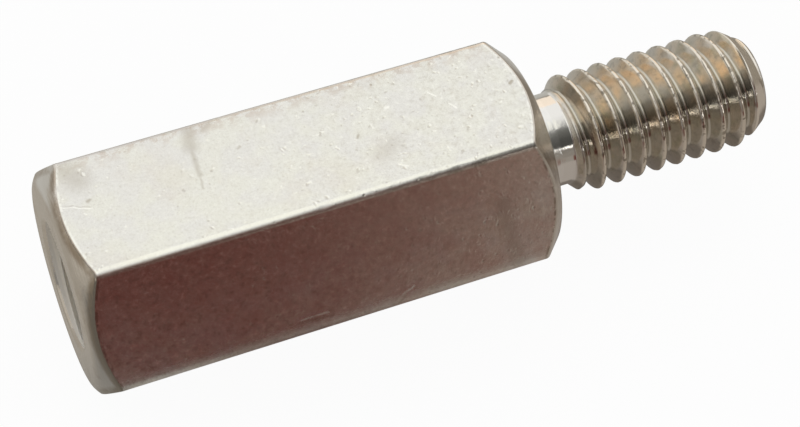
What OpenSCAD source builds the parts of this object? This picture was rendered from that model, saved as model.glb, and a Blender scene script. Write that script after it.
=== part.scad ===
// Hex standoff with a threaded stud, turned in one piece from drawn hexagon bar.
// One end of the hexagon is tapped, the other ends in a shoulder that carries the stud.
// The part lies on one of its flats, with its axis along X and the stud toward +X.
// The origin is on the surface it lies on, midway between the tapped face and the tip.
// The stud's thread is a true right-hand helix. The thread inside the hole is not cut:
// the hole is as wide as the drill that comes before the tap.

/* [Hexagon] */
// Width across the flats of the drawn bar
across_flats = 6.95; // [6.5:0.05:12]
// Length of the hexagon from the tapped face to the shoulder
body_len = 15; // [14:0.5:40]
// How far the six corners are broken, on the radius
corner_break = 0.03; // [0.01:0.01:0.2]

/* [Turned ends] */
// How far inside the flats the tapped end is faced off
tapped_inset = 0.29; // [0.1:0.01:0.5]
// Slope of the chamfer at the tapped end, measured from that face
tapped_slope = 36; // [20:1:50]
// How far inside the flats the shoulder is faced off
shoulder_inset = 0.29; // [0.1:0.01:0.5]
// Slope of the chamfer at the shoulder, measured from that face
shoulder_slope = 44; // [20:1:50]

/* [Thread] */
// Nominal diameter of the thread, the same on the stud and in the hole
thread_d = 4; // [3:0.5:5]
// Pitch of the thread, which sets the tapping drill
thread_pitch = 0.7; // [0.5:0.05:0.9]
// Width of the flat that is left on each crest
crest_w = 0.1; // [0.05:0.01:0.2]
// Width of the flat at each root
root_w = 0.13; // [0.03:0.01:0.15]
// How far past the neck the first crest crosses the underside
first_crest = 0.31; // [0.05:0.01:0.9]
// Width of the full ring that closes the thread at each end
land_w = 0.1; // [0.05:0.01:0.2]

/* [Stud] */
// Length of the stud from the shoulder to the tip
stud_len = 8; // [5:0.5:20]
// How far the stud's crests lie below the nominal diameter, on the diameter
crest_clearance = 0.14; // [0.04:0.01:0.2]
// Length of the plain neck between the shoulder and the thread
neck_len = 1.25; // [0.5:0.05:2]
// Depth of the neck below the crests, on the radius
neck_depth = 0.43; // [0.3:0.01:0.6]
// Slope of the run-out that ends the thread at the neck, measured from the axis
runout_slope = 45; // [30:1:60]
// Length of the chamfer at the tip
tip_len = 0.75; // [0.3:0.05:1.2]
// Depth of the chamfer at the tip, on the radius
tip_depth = 0.5; // [0.2:0.05:0.8]

/* [Tapped hole] */
// Depth of the hole where it is still full width
hole_depth = 9.5; // [5:0.5:11]
// How much wider than the thread the countersunk mouth is
mouth_clearance = 0.2; // [0.05:0.05:0.4]
// Angle of the countersink
mouth_angle = 90; // [80:1:120]
// Angle of the drill's point
drill_angle = 118; // [100:1:140]

/* [Hidden] */

$fn = 96;
TURN_STEPS = 36;
SIDES = 6;
FLAT_TURN = 180 / SIDES;
OVER = 0.2;
// Half the angle between the flanks of a metric thread
HALF_FLANK = 30;
// The crests' facets stay this much inside the round lands
FACET_GAP = 0.004;

flat_r = across_flats / 2;
corner_r = flat_r / cos(FLAT_TURN);
broken_r = corner_r - corner_break;

tapped_face_r = flat_r - tapped_inset;
shoulder_r = flat_r - shoulder_inset;

stud_r = (thread_d - crest_clearance) / 2;
neck_r = stud_r - neck_depth;
runout_len = neck_depth / tan(runout_slope);
tip_r = stud_r - tip_depth;

flank_w = (thread_pitch - crest_w - root_w) / 2;
root_r = stud_r - flank_w / tan(HALF_FLANK);
thread_from = body_len + neck_len;

hole_r = (thread_d - thread_pitch) / 2;
mouth_r = (thread_d + mouth_clearance) / 2;
mouth_depth = (mouth_r - hole_r) / tan(mouth_angle / 2);
point_depth = hole_r / tan(drill_angle / 2);

total_len = body_len + stud_len;

// Lays what is drawn upright, tapped face down, along the axis of the standoff.
module lay_down() {
    translate([-total_len / 2, 0, flat_r]) rotate([0, 90, 0]) children();
}

// The hexagon bar, turned so that it lies on a flat.
module bar() {
    rotate(FLAT_TURN) cylinder(h = body_len, r = corner_r, $fn = SIDES);
}

// What the lathe leaves of the bar: a chamfer cone at each end, which cuts the
// corners deepest and leaves an arc on each flat, and corners just broken between.
module turned_envelope() {
    rotate_extrude()
        polygon([
            [0, 0],
            [tapped_face_r, 0],
            [broken_r, (broken_r - tapped_face_r) * tan(tapped_slope)],
            [broken_r, body_len - (broken_r - shoulder_r) * tan(shoulder_slope)],
            [shoulder_r, body_len],
            [0, body_len]
        ]);
}

// One pitch of the thread in section, as distances along and radii: root, then crest.
THREAD_PROFILE = [
    [0, root_r],
    [root_w, root_r],
    [root_w + flank_w, stud_r - FACET_GAP],
    [root_w + flank_w + crest_w, stud_r - FACET_GAP]
];

// A point on the helix: its step round the axis, its distance along at step 0, its radius.
function on_helix(step, along, r) =
    let (turn = 360 * step / TURN_STEPS)
    [r * cos(turn), r * sin(turn), along + thread_pitch * step / TURN_STEPS];

// A screw body on the axis. The profile's points run along it as helical rows, and one
// turn of the first row is drawn in to a point on the axis at each end.
module screw(from, turns) {
    steps = turns * TURN_STEPS;
    rows = len(THREAD_PROFILE);
    points = concat(
        [for (i = [0:steps]) for (p = THREAD_PROFILE) on_helix(i, from + p[0], p[1])],
        [for (i = [1:TURN_STEPS]) on_helix(steps + i, from, root_r)],
        [for (i = [0, steps]) on_helix(i + TURN_STEPS / 2, from, 0)]
    );
    extra = (steps + 1) * rows;
    apex = extra + TURN_STEPS;
    // number of the point in row j at step i, where the last row is the next turn's first
    function at(i, j) =
        j < rows ? i * rows + j
        : i + TURN_STEPS <= steps ? (i + TURN_STEPS) * rows
        : extra + i + TURN_STEPS - steps - 1;
    faces = concat(
        [for (i = [0:steps - 1]) for (j = [0:rows - 1]) each [
            [at(i, j), at(i, j + 1), at(i + 1, j + 1)],
            [at(i, j), at(i + 1, j + 1), at(i + 1, j)]
        ]],
        [for (i = [0:TURN_STEPS - 1]) each [
            [at(i, 0), at(i + 1, 0), apex],
            [at(steps - i, rows), at(steps - i - 1, rows), apex + 1]
        ]],
        [for (j = [0:rows - 1]) each [
            [apex, at(0, j + 1), at(0, j)],
            [apex + 1, at(steps, j), at(steps, j + 1)]
        ]]
    );
    polyhedron(points, faces, convexity = 10);
}

// What the lathe leaves for the thread: run-out cone, room for the crests, tip chamfer.
module thread_room() {
    wide = stud_r + OVER;
    rotate_extrude()
        polygon([
            [0, thread_from],
            [neck_r, thread_from],
            [wide, thread_from + (wide - neck_r) / tan(runout_slope)],
            [wide, total_len - tip_len * (wide - tip_r) / tip_depth],
            [tip_r, total_len],
            [0, total_len]
        ]);
}

// The stud from inside the shoulder to the tip: neck, thread, and a land at each end of it.
module stud() {
    translate([0, 0, body_len - OVER]) cylinder(h = neck_len + 2 * OVER, r = neck_r);
    intersection() {
        screw(
            thread_from + first_crest - root_w - flank_w - crest_w / 2 - 2 * thread_pitch,
            ceil((stud_len - neck_len) / thread_pitch) + 3
        );
        thread_room();
    }
    for (from = [thread_from + runout_len, total_len - tip_len - land_w])
        translate([0, 0, from]) cylinder(h = land_w, r = stud_r);
}

// The hole for the tap: countersunk mouth, full width, and the drill's point.
module tapping_hole() {
    translate([0, 0, -OVER])
        cylinder(h = mouth_depth + OVER, r1 = mouth_r + OVER * tan(mouth_angle / 2), r2 = hole_r);
    cylinder(h = hole_depth, r = hole_r);
    translate([0, 0, hole_depth]) cylinder(h = point_depth, r1 = hole_r, r2 = 0);
}

module hex_standoff() {
    color([0.80, 0.78, 0.74])
        lay_down() difference() {
            union() {
                intersection() {
                    bar();
                    turned_envelope();
                }
                stud();
            }
            tapping_hole();
        }
}

hex_standoff();
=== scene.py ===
"""Looks of a hex standoff with a threaded stud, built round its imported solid.

The part is one skin, wound ring by ring round the axis of the bar: out of the tapped
hole, over the tapped end, along the six flats, down the shoulder and along the stud.
Both threads are real helices. Lengths are millimetres until a mesh is made of them;
the axis lies along X, the stud points to +X and the part rests on one of its flats.
"""

from __future__ import annotations

import logging
import math
from collections.abc import Callable, Mapping, Sequence
from dataclasses import dataclass
from enum import Enum, IntEnum
from functools import cached_property
from typing import TypeAlias

import bpy
import numpy as np
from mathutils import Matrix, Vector, noise


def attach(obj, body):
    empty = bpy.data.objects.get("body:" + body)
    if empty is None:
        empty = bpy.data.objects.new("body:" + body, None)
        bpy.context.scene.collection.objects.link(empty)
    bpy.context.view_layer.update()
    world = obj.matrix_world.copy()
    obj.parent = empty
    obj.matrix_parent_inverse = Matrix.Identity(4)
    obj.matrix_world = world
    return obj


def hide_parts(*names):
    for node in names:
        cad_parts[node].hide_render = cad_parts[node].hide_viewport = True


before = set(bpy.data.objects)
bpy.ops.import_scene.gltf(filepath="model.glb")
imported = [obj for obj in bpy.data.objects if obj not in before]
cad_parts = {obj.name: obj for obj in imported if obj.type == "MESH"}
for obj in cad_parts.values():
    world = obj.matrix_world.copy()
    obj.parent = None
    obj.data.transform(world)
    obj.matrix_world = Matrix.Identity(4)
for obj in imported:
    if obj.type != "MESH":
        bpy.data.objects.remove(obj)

LOG = logging.getLogger("hex_standoff")

MM = 0.001
MICRON = 0.000001
NODE = "hex_standoff"
BODY = "root"

FULL_TURN = 2 * math.pi
HALF_FLANK = math.radians(30)
TINY = 1e-30

Point: TypeAlias = tuple[float, float, float]
Colour: TypeAlias = tuple[float, float, float]
Span: TypeAlias = tuple[float, float]
Ring: TypeAlias = tuple[np.ndarray, np.ndarray]
Value: TypeAlias = "float | Signal"
Input: TypeAlias = "float | Sequence[float] | Signal"

ALONG: Point = (1.0, 0.0, 0.0)
BACK: Point = (0.0, 1.0, 0.0)
UP: Point = (0.0, 0.0, 1.0)


# ---------------------------------------------------------------------------
# Sizes and names that several pieces share


class Finish(IntEnum):
    """The finishes of the part, in the order of its material slots."""

    DRAWN = 0
    TURNED = 1
    THREADED = 2
    TAPPED = 3
    NECK = 4


class Toward(IntEnum):
    """Which end of the part something faces or runs to."""

    HOLE = -1
    STUD = 1


@dataclass(frozen=True)
class Layout:
    """Where the parts of the standoff lie along its axis, from the tapped face."""

    across_flats: float = 6.95
    body_length: float = 15.0
    stud_length: float = 8.0

    @property
    def axis_height(self) -> float:
        """Height of the axis over the flat that the part lies on."""
        return self.across_flats / 2

    @property
    def total(self) -> float:
        """Length from the tapped face to the tip of the stud."""
        return self.body_length + self.stud_length

    @property
    def origin(self) -> float:
        """Distance from the tapped face to the middle of the part."""
        return self.total / 2

    def place(self, along: np.ndarray, radius: np.ndarray, angle: np.ndarray) -> np.ndarray:
        """Turns places on the part into points of the shared frame.

        Args:
            along: Distances from the tapped face, in millimetres.
            radius: Distances from the axis, in millimetres.
            angle: Angles about the axis from +Y toward +Z, in radians.

        Returns:
            One row of X, Y and Z for each place, in millimetres.
        """
        along, radius, angle = np.broadcast_arrays(along, radius, angle)
        height = radius * np.sin(angle) + self.axis_height
        return np.stack([along - self.origin, radius * np.cos(angle), height], axis=-1)


LAYOUT = Layout()


# ---------------------------------------------------------------------------
# Profiles


def soft_min(first: np.ndarray, second: np.ndarray, blend: float) -> np.ndarray:
    """The lower of two profiles, with the corner between them rounded.

    Args:
        first: Radii of one profile.
        second: Radii of the other.
        blend: Over what difference the two are blended.

    Returns:
        The blended radii.
    """
    near = np.clip(blend - np.abs(first - second), 0, None) / blend
    return np.minimum(first, second) - near * near * blend / 4


def soft_max(first: np.ndarray, second: np.ndarray, blend: float) -> np.ndarray:
    """The higher of two profiles, with the corner between them rounded."""
    return -soft_min(-first, -second, blend)


def level(along: float, radius: float, columns: np.ndarray) -> Ring:
    """A ring at one distance along and of one radius."""
    return np.full(columns.shape, along), np.full(columns.shape, radius)


def rounded(before: Ring, corner: Ring, after: Ring, cut: float, strips: int) -> list[Ring]:
    """Rings that round a corner of the profile.

    Args:
        before: Distance along and radius of a point on the side that leads to the corner.
        corner: Distance along and radius of the sharp corner.
        after: Distance along and radius of a point on the side that leaves it.
        cut: How far from the corner the rounding begins and ends.
        strips: How many strips it has.

    Returns:
        Distance along and radius of each ring, from one end of the rounding to the other.
    """
    sharp = np.stack(corner)

    def toward(other: Ring) -> np.ndarray:
        """The point at the rounding's end on the way to the other point."""
        way = np.stack(other) - sharp
        return sharp + way * cut / np.linalg.norm(way, axis=0)

    begin, end = toward(before), toward(after)
    shares = [k / strips for k in range(strips + 1)]
    points = [begin * (1 - t) ** 2 + sharp * 2 * t * (1 - t) + end * t**2 for t in shares]
    return [(point[0], point[1]) for point in points]


@dataclass(frozen=True)
class HexSection:
    """Cross-section of the drawn bar: six flats with their corners just rounded."""

    flat_radius: float = LAYOUT.across_flats / 2
    corner_radius: float = 0.28
    side_angle: float = 60.0
    column_step: float = 2.5
    support: float = 0.3

    @property
    def round_centre(self) -> float:
        """Distance of a corner's rounding centre from the axis."""
        return (self.flat_radius - self.corner_radius) / math.cos(math.radians(self.side_angle / 2))

    @property
    def round_reach(self) -> float:
        """Angle about the axis from a corner to the end of its rounding, in degrees.

        Returns:
            The angle.
        """
        half = math.radians(self.side_angle / 2)
        across = self.corner_radius * math.sin(half)
        out = self.round_centre + self.corner_radius * math.cos(half)
        return math.degrees(math.atan2(across, out))

    def columns(self) -> np.ndarray:
        """Angles of the mesh's columns in radians: even, and denser at the corners.

        Returns:
            The angles, from 0 up.
        """
        reach = self.round_reach
        near = (0.0, reach / 3, reach * 2 / 3, reach, reach + self.support)
        steps = np.arange(0, self.side_angle, self.column_step)
        plain = steps[(steps > near[-1]) & (steps < self.side_angle - near[-1])]
        side = np.concatenate([near, plain, self.side_angle - np.array(near[:0:-1])])
        turned = [side + start for start in np.arange(0, 360, self.side_angle)]
        return np.radians(np.concatenate(turned))

    def radius(self, angle: np.ndarray) -> np.ndarray:
        """Distance from the axis to the bar's surface.

        Args:
            angle: Angles about the axis, in radians, with a corner at zero.

        Returns:
            The radius at each angle.
        """
        side = math.radians(self.side_angle)
        from_corner = np.abs((angle + side / 2) % side - side / 2)
        flat = self.flat_radius / np.cos(side / 2 - from_corner)
        centre = self.round_centre
        inside = np.clip(self.corner_radius**2 - (centre * np.sin(from_corner)) ** 2, 0, None)
        corner = centre * np.cos(from_corner) + np.sqrt(inside)
        return np.where(from_corner < math.radians(self.round_reach), corner, flat)


@dataclass(frozen=True)
class Thread:
    """A right-hand thread on a turned envelope, outside or inside.

    The envelope is the turned shape that the thread is cut into; the lower of the
    two surfaces stays on a stud, and the higher of the two in a hole.
    """

    envelope: Callable[[np.ndarray], np.ndarray]
    crest_radius: float
    root_radius: float
    crest_width: float
    phase: float
    finish: Finish
    inside: bool = False
    pitch: float = 0.7
    crest_blend: float = 0.035
    root_blend: float = 0.09
    envelope_blend: float = 0.03
    burr: float = 0.0
    burr_width: float = 0.04
    burr_scale: float = 5.0
    burr_circle: float = 2.0
    plain_to: float = 0.0
    crest_rows: tuple[float, ...] = (0.4, 0.75, 0.95)
    flank_rows: tuple[float, ...] = (0.06, 0.16, 0.45, 0.78, 0.92, 1.05)
    row_gap: float = 0.01
    snap: float = 1e-4

    @property
    def depth(self) -> float:
        """How deep the thread is cut."""
        return abs(self.crest_radius - self.root_radius)

    def rows(self) -> list[float]:
        """Distances of the mesh's rows from the middle of a crest, over one pitch.

        Returns:
            The distances in millimetres, to both sides.
        """
        half = self.crest_width / 2
        flank = self.depth * math.tan(HALF_FLANK)
        side = [half * k for k in self.crest_rows] + [half + flank * k for k in self.flank_rows]
        side = [x for x in side if x < self.pitch / 2 - self.row_gap]
        return [0.0, self.pitch / 2] + side + [-x for x in side]

    def radius(self, along: np.ndarray, angle: np.ndarray) -> np.ndarray:
        """Distance from the axis to the threaded surface.

        Args:
            along: Distances from the tapped face.
            angle: Angles about the axis, in radians.

        Returns:
            The radius at each place.
        """
        helix = (along - self.phase) / self.pitch - angle / FULL_TURN
        off = np.abs((helix + 0.5) % 1.0 - 0.5) * self.pitch
        fall = (off - self.crest_width / 2) / math.tan(HALF_FLANK)
        crest = soft_max(fall, np.zeros_like(fall), self.crest_blend)
        sunk = soft_min(crest, np.full_like(fall, self.depth), self.root_blend)
        if self.burr:
            sunk = sunk - np.exp(-((off / self.burr_width) ** 2)) * self._burrs(along, angle)
        blank = self.envelope(along)
        if self.inside:
            return soft_max(self.crest_radius + sunk, blank, self.envelope_blend)
        cut = soft_min(self.crest_radius - sunk, blank, self.envelope_blend)
        return np.where(along < self.plain_to, blank, cut)

    def _burrs(self, along: np.ndarray, angle: np.ndarray) -> np.ndarray:
        """How far the crests stand up or are worn down at each place.

        Args:
            along: Distances from the tapped face.
            angle: Angles about the axis, in radians.

        Returns:
            The height at each place, in millimetres.
        """
        scale = self.burr_scale
        circle = self.burr_circle * scale
        spots = [
            Vector((s * scale, math.cos(a) * circle, math.sin(a) * circle))
            for s, a in zip(along, angle)
        ]
        return self.burr * np.array([noise.noise(spot) for spot in spots])


# ---------------------------------------------------------------------------
# The skin that all the pieces wind


class Skin:
    """A closed skin wound round the axis, from a pole on it to another pole."""

    def __init__(self, columns: np.ndarray) -> None:
        """Starts an empty skin.

        Args:
            columns: Angles of its columns in radians, from 0 up.
        """
        self.columns = columns
        self.points: list[np.ndarray] = []
        self.count = 0
        self.faces: list[tuple[int, ...]] = []
        self.finishes: list[int] = []
        self.last: np.ndarray | None = None
        self.pole = 0

    def _add_points(self, along: np.ndarray, radius: np.ndarray, angle: np.ndarray) -> np.ndarray:
        """Adds vertices and returns their numbers.

        Args:
            along: Distances from the tapped face.
            radius: Distances from the axis.
            angle: Angles about the axis, in radians.

        Returns:
            The number of each vertex.
        """
        placed = LAYOUT.place(along, radius, angle).reshape(-1, 3)
        self.points.append(placed)
        numbers = np.arange(self.count, self.count + len(placed))
        self.count += len(placed)
        return numbers

    def _add_pole(self, along: float) -> int:
        """Adds a vertex on the axis and returns its number."""
        return int(self._add_points(np.array([along]), np.zeros(1), np.zeros(1))[0])

    def _add_face(self, corners: Sequence[int], finish: Finish) -> None:
        """Adds a face, without the corners that have run together.

        Args:
            corners: Numbers of its vertices, in order.
            finish: What finish it has.
        """
        kept = [int(v) for k, v in enumerate(corners) if v != corners[k - 1]]
        if len(kept) >= 3:
            self.faces.append(tuple(kept))
            self.finishes.append(int(finish))

    def start(self, along: float) -> None:
        """Starts the skin at a pole on the axis."""
        self.pole = self._add_pole(along)

    def ring(self, along: np.ndarray | float, radius: np.ndarray | float, finish: Finish) -> None:
        """Adds a ring and joins it to the one before.

        Args:
            along: Distance from the tapped face, one for all columns or one for each.
            radius: Distance from the axis, one for all columns or one for each.
            finish: What finish the faces between the two rings have.
        """
        ring = self._add_points(np.asarray(along, float), np.asarray(radius, float), self.columns)
        for j, here in enumerate(ring):
            after = ring[(j + 1) % len(ring)]
            if self.last is None:
                self._add_face((self.pole, after, here), finish)
            else:
                self._add_face((self.last[j], self.last[(j + 1) % len(ring)], after, here), finish)
        self.last = ring

    def rings(self, rings: Sequence[Ring], finish: Finish) -> None:
        """Adds rings of one finish, one after the other."""
        for along, radius in rings:
            self.ring(along, radius, finish)

    def end(self, along: float, finish: Finish) -> None:
        """Closes the skin at a pole on the axis.

        Args:
            along: Where the pole is, from the tapped face.
            finish: What finish its faces have.
        """
        pole = self._add_pole(along)
        for j, here in enumerate(self.last):
            self._add_face((here, self.last[(j + 1) % len(self.last)], pole), finish)

    def spiral(self, thread: Thread, begin: float, turns: int, toward: Toward) -> float:
        """Winds helical rows over a stretch that is a whole number of turns long.

        The rows lie along the helix, so crests and roots are clean edges. They run
        out in a wedge at both ends of the stretch, against a plain ring.

        Args:
            thread: The thread whose profile the rows follow.
            begin: Where the stretch begins, from the tapped face.
            turns: How many pitches it is long.
            toward: Which way it runs.

        Returns:
            Where the stretch ends, from the tapped face.
        """
        size = len(self.columns)
        pitch = thread.pitch
        stop = begin + toward * turns * pitch
        begins, stops = np.full(size, begin), np.full(size, stop)
        order, offset = self._winding(toward)
        self.ring(begins, thread.radius(begins, self.columns), thread.finish)
        first = self.last
        crest = toward * (thread.phase - begin) / pitch
        steps = np.sort((crest + np.array(thread.rows()) / pitch) % 1.0)
        rows = np.concatenate([steps + k for k in range(-1, turns)])
        owned = np.full((size, len(rows)), -1)
        for p in range(size):
            place = rows + offset[p]
            free = (place > thread.snap) & (place < turns - thread.snap)
            along = begin + toward * pitch * place[free]
            turned = offset[p] if toward is Toward.STUD else 1 - offset[p]
            angle = np.full(along.shape, FULL_TURN * turned)
            owned[p, free] = self._add_points(along, thread.radius(along, angle), angle)
            owned[p, place <= thread.snap] = first[order[p]]
        last = self._add_points(stops, thread.radius(stops, self.columns), self.columns)
        for p in range(size):
            owned[p, owned[p] < 0] = last[order[p]]
        seam = np.append(owned[0, len(steps):], np.full(len(steps), last[0]))
        table = np.column_stack([first[order], np.vstack([owned, seam]), last[order]])
        for p in range(size):
            left, right = table[p], table[p + 1]
            if toward is Toward.HOLE:
                left, right = right, left
            for i in range(len(left) - 1):
                self._add_face((left[i], right[i], right[i + 1], left[i + 1]), thread.finish)
        self.last = last
        return stop

    def _winding(self, toward: Toward) -> tuple[np.ndarray, np.ndarray]:
        """In what order a spiral meets the columns, back to the first, and its turn at each.

        Args:
            toward: Which way the spiral runs.

        Returns:
            The columns in that order, and the share of a turn at each.
        """
        size = len(self.columns)
        share = self.columns / FULL_TURN
        if toward is Toward.STUD:
            return np.append(np.arange(size), 0), np.append(share, 1.0)
        order = np.concatenate([[0], np.arange(size - 1, 0, -1), [0]])
        offset = 1.0 - share[order]
        offset[0] = 0.0
        return order, offset

    def mesh(self, name: str) -> bpy.types.Mesh:
        """Makes the mesh, in metres, with normals that keep the flats flat.

        Args:
            name: Name of the mesh.

        Returns:
            The finished mesh.
        """
        points = np.concatenate(self.points) * MM
        mesh = bpy.data.meshes.new(name)
        mesh.from_pydata(points.tolist(), [], self.faces)
        mesh.polygons.foreach_set("material_index", self.finishes)
        mesh.polygons.foreach_set("use_smooth", [True] * len(self.faces))
        mesh.validate(verbose=False)
        mesh.update()
        mesh.normals_split_custom_set_from_vertices(self._normals(points).tolist())
        return mesh

    def _normals(self, points: np.ndarray) -> np.ndarray:
        """Vertex normals in which each face counts by its area.

        Args:
            points: The vertices, one to a row.

        Returns:
            The unit normal of each vertex.
        """
        total = np.zeros_like(points)
        diagonals = {3: ((1, 0), (2, 0)), 4: ((2, 0), (3, 1))}
        for size, (one, other) in diagonals.items():
            faces = np.array([face for face in self.faces if len(face) == size])
            corners = points[faces]
            first = corners[:, one[0]] - corners[:, one[1]]
            second = corners[:, other[0]] - corners[:, other[1]]
            area = np.cross(first, second)
            for k in range(size):
                np.add.at(total, faces[:, k], area)
        length = np.linalg.norm(total, axis=1, keepdims=True)
        return total / np.maximum(length, TINY)


# ---------------------------------------------------------------------------
# Sub-assemblies


@dataclass(frozen=True)
class TurnedEnd:
    """A faced end of the bar with its turned chamfer, which leaves an arc on each flat."""

    position: float
    toward: Toward
    slope: float
    edge_cut: float = 0.06
    face_radius: float = 3.185
    support_radius: float = 2.7
    arc_cut: float = 0.05
    round_strips: int = 4
    chamfer_rings: int = 3

    @property
    def rise(self) -> float:
        """How far the chamfer falls back for each millimetre away from the axis."""
        return math.tan(math.radians(self.slope))

    def rings(self, section: HexSection, columns: np.ndarray) -> list[Ring]:
        """The rings from the face to just past the arc, in this order.

        Args:
            section: Cross-section of the bar.
            columns: Angles of the mesh's columns.

        Returns:
            Distance along and radius of each ring.
        """
        radius = section.radius(columns)
        face = level(self.position, self.support_radius, columns)
        edge = level(self.position, self.face_radius, columns)
        arc = (self.position - self.toward * (radius - self.face_radius) * self.rise, radius)
        bar = (arc[0] - self.toward, radius)
        edge_rings = rounded(face, edge, arc, self.edge_cut, self.round_strips)
        arc_rings = rounded(edge, arc, bar, self.arc_cut, self.round_strips)
        begin, end = np.stack(edge_rings[-1]), np.stack(arc_rings[0])
        shares = [k / (self.chamfer_rings + 1) for k in range(1, self.chamfer_rings + 1)]
        between = [tuple(begin * (1 - t) + end * t) for t in shares]
        return edge_rings + between + arc_rings


TAPPED_END = TurnedEnd(0.0, Toward.HOLE, slope=36.0, edge_cut=0.22)
SHOULDER = TurnedEnd(LAYOUT.body_length, Toward.STUD, slope=44.0)


@dataclass(frozen=True)
class TappedHole:
    """The tapped hole: drill point, plain bore, thread and countersunk mouth."""

    minor_radius: float = 1.65
    major_radius: float = 2.03
    mouth_radius: float = 2.1
    full_depth: float = 9.5
    point_angle: float = 118.0
    point_rings: tuple[float, ...] = (0.3, 0.65, 0.97)
    bore_support: float = 0.1
    thread_start: float = 8.5
    thread_turns: int = 12
    crest_width: float = 0.175
    phase: float = 0.31
    mouth_rings: tuple[Span, ...] = ((0.04, -0.04), (0.012, -0.008), (0.0, 0.03))

    def countersink(self, along: np.ndarray) -> np.ndarray:
        """Radius of the countersink at a depth."""
        return np.maximum(self.mouth_radius - along, 0.0)

    def thread(self) -> Thread:
        """The thread in the hole, cut into the countersink."""
        return Thread(
            envelope=self.countersink,
            crest_radius=self.minor_radius,
            root_radius=self.major_radius,
            crest_width=self.crest_width,
            phase=self.phase,
            finish=Finish.TAPPED,
            inside=True,
            crest_rows=(0.9,),
            flank_rows=(0.12, 0.85, 1.05),
        )

    def wind(self, skin: Skin) -> None:
        """Winds the hole's part of the skin, from the drill point to the mouth.

        Args:
            skin: The skin to wind it on.
        """
        bore = self.minor_radius
        deep = bore / math.tan(math.radians(self.point_angle / 2))
        skin.start(self.full_depth + deep)
        for share in self.point_rings:
            skin.ring(self.full_depth + deep * (1 - share), bore * share, Finish.TURNED)
        skin.ring(self.full_depth, bore, Finish.TURNED)
        skin.ring(self.full_depth - self.bore_support, bore, Finish.TURNED)
        skin.spiral(self.thread(), self.thread_start, self.thread_turns, Toward.HOLE)
        for depth, wider in self.mouth_rings:
            skin.ring(depth, self.mouth_radius + wider, Finish.TURNED)


@dataclass(frozen=True)
class HexBar:
    """The hexagon with its two turned ends."""

    section: HexSection = HexSection()
    tapped_end: TurnedEnd = TAPPED_END
    shoulder: TurnedEnd = SHOULDER
    row_length: float = 0.13
    support_share: float = 0.003
    mouth_support: float = 2.35
    neck_support: float = 2.0
    nick_depth: float = 0.022
    nick_start: float = 0.12
    nick_scale: Point = (2.6, 9.0, 40.0)

    def _nicks(self, along: np.ndarray, columns: np.ndarray) -> np.ndarray:
        """How much is knocked off the corners, as small uneven nicks.

        Args:
            along: Distance of each column from the tapped face.
            columns: Angle of each column.

        Returns:
            The depth at each column, in millimetres.
        """
        side = math.radians(self.section.side_angle)
        corner = np.round(columns / side)
        off = np.abs(columns - corner * side)
        near = np.clip(1 - off / math.radians(self.section.round_reach + self.section.support), 0, 1)
        found = np.zeros_like(along)
        for j in np.nonzero(near > 0)[0]:
            place = zip((along[j], corner[j], off[j]), self.nick_scale)
            spot = Vector([part * scale for part, scale in place])
            found[j] = max(0.0, noise.noise(spot) - self.nick_start)
        return self.nick_depth * near * found / (1 - self.nick_start)

    def wind_tapped_end(self, skin: Skin) -> None:
        """Winds the tapped face and its chamfer.

        Args:
            skin: The skin to wind it on.
        """
        for radius in (self.mouth_support, self.tapped_end.support_radius):
            skin.ring(self.tapped_end.position, radius, Finish.TURNED)
        skin.rings(self.tapped_end.rings(self.section, skin.columns), Finish.TURNED)

    def wind_flats(self, skin: Skin) -> None:
        """Winds the six flats from one arc to the other.

        Args:
            skin: The skin to wind it on.
        """
        begin = self.tapped_end.rings(self.section, skin.columns)[-1][0]
        end = self.shoulder.rings(self.section, skin.columns)[-1][0]
        radius = self.section.radius(skin.columns)
        count = round(LAYOUT.body_length / self.row_length)
        shares = np.arange(1, count) / count
        for share in [self.support_share, *shares, 1 - self.support_share, 1.0]:
            along = begin * (1 - share) + end * share
            skin.ring(along, radius - self._nicks(along, skin.columns), Finish.DRAWN)

    def wind_shoulder(self, skin: Skin) -> None:
        """Winds the shoulder's chamfer and face.

        Args:
            skin: The skin to wind it on.
        """
        inward = self.shoulder.rings(self.section, skin.columns)[::-1]
        skin.rings(inward[1:], Finish.TURNED)
        for radius in (self.shoulder.support_radius, self.neck_support):
            skin.ring(self.shoulder.position, radius, Finish.TURNED)


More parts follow.
